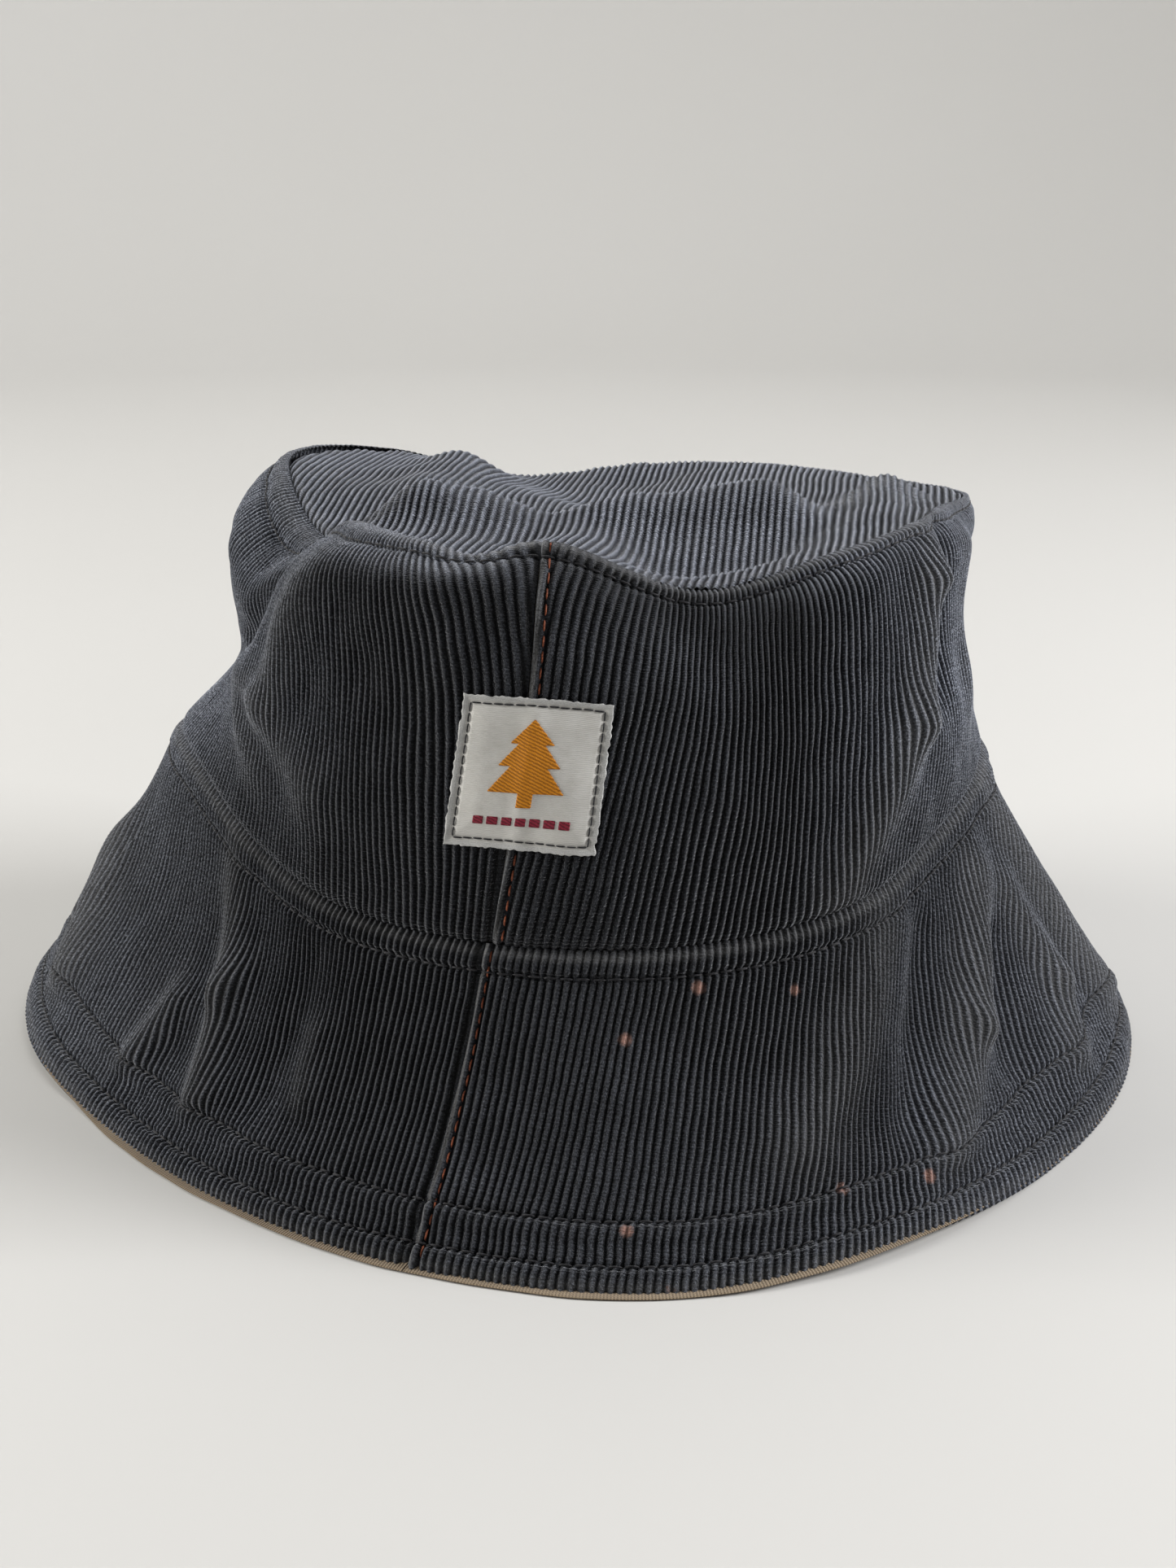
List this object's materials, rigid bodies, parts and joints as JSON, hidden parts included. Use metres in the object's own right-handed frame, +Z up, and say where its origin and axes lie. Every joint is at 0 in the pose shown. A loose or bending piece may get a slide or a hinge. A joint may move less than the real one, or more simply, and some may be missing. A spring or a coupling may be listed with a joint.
{
  "type": "bucket hat",
  "caption": "Soft corduroy bucket hat with a slumped crown, a sloping stitched brim, a knit lining and a plain woven label on the front seam.",
  "frame": {"origin": "centre under the hat, on the plane that the edge of the brim rests on", "axes": "+Z up through the crown, -Y towards the front of the hat where the label is, +X to the hat's own left"},
  "size_m": [0.2633, 0.2594, 0.129],
  "materials": {
    "corduroy": "slate grey corduroy, ribs running up the hat, worn paler on its ridges",
    "lining_knit": "beige rib knit, matt",
    "interfacing": "off-white non-woven stiffener, matt",
    "thread_black": "black polyester sewing thread",
    "thread_rust": "rust brown sewing thread",
    "label_cloth": "white satin-woven label cloth",
    "motif_thread": "orange satin stitch",
    "accent_thread": "dark red satin stitch"
  },
  "bodies": {
    "root": {"crown_tip": "corduroy", "crown_tip_lining": "lining_knit", "side_band_right": "corduroy", "side_band_left": "corduroy", "side_band_lining_right": "lining_knit", "side_band_lining_left": "lining_knit", "brim_right": "corduroy", "brim_left": "corduroy", "brim_interfacing_right": "interfacing", "brim_interfacing_left": "interfacing", "brim_lining_right": "lining_knit", "brim_lining_left": "lining_knit", "crown_topstitching": "thread_black", "brim_join_topstitching": "thread_black", "brim_edge_topstitching_inner": "thread_black", "brim_edge_topstitching_outer": "thread_black", "band_front_seam_stitching": "thread_rust", "band_back_seam_stitching": "thread_rust", "brim_front_seam_stitching": "thread_rust", "brim_back_seam_stitching": "thread_rust", "label_patch": "label_cloth", "label_stitching": "thread_black", "label_motif": "motif_thread", "label_accent_bar": "accent_thread"}
  },
  "joints": []
}
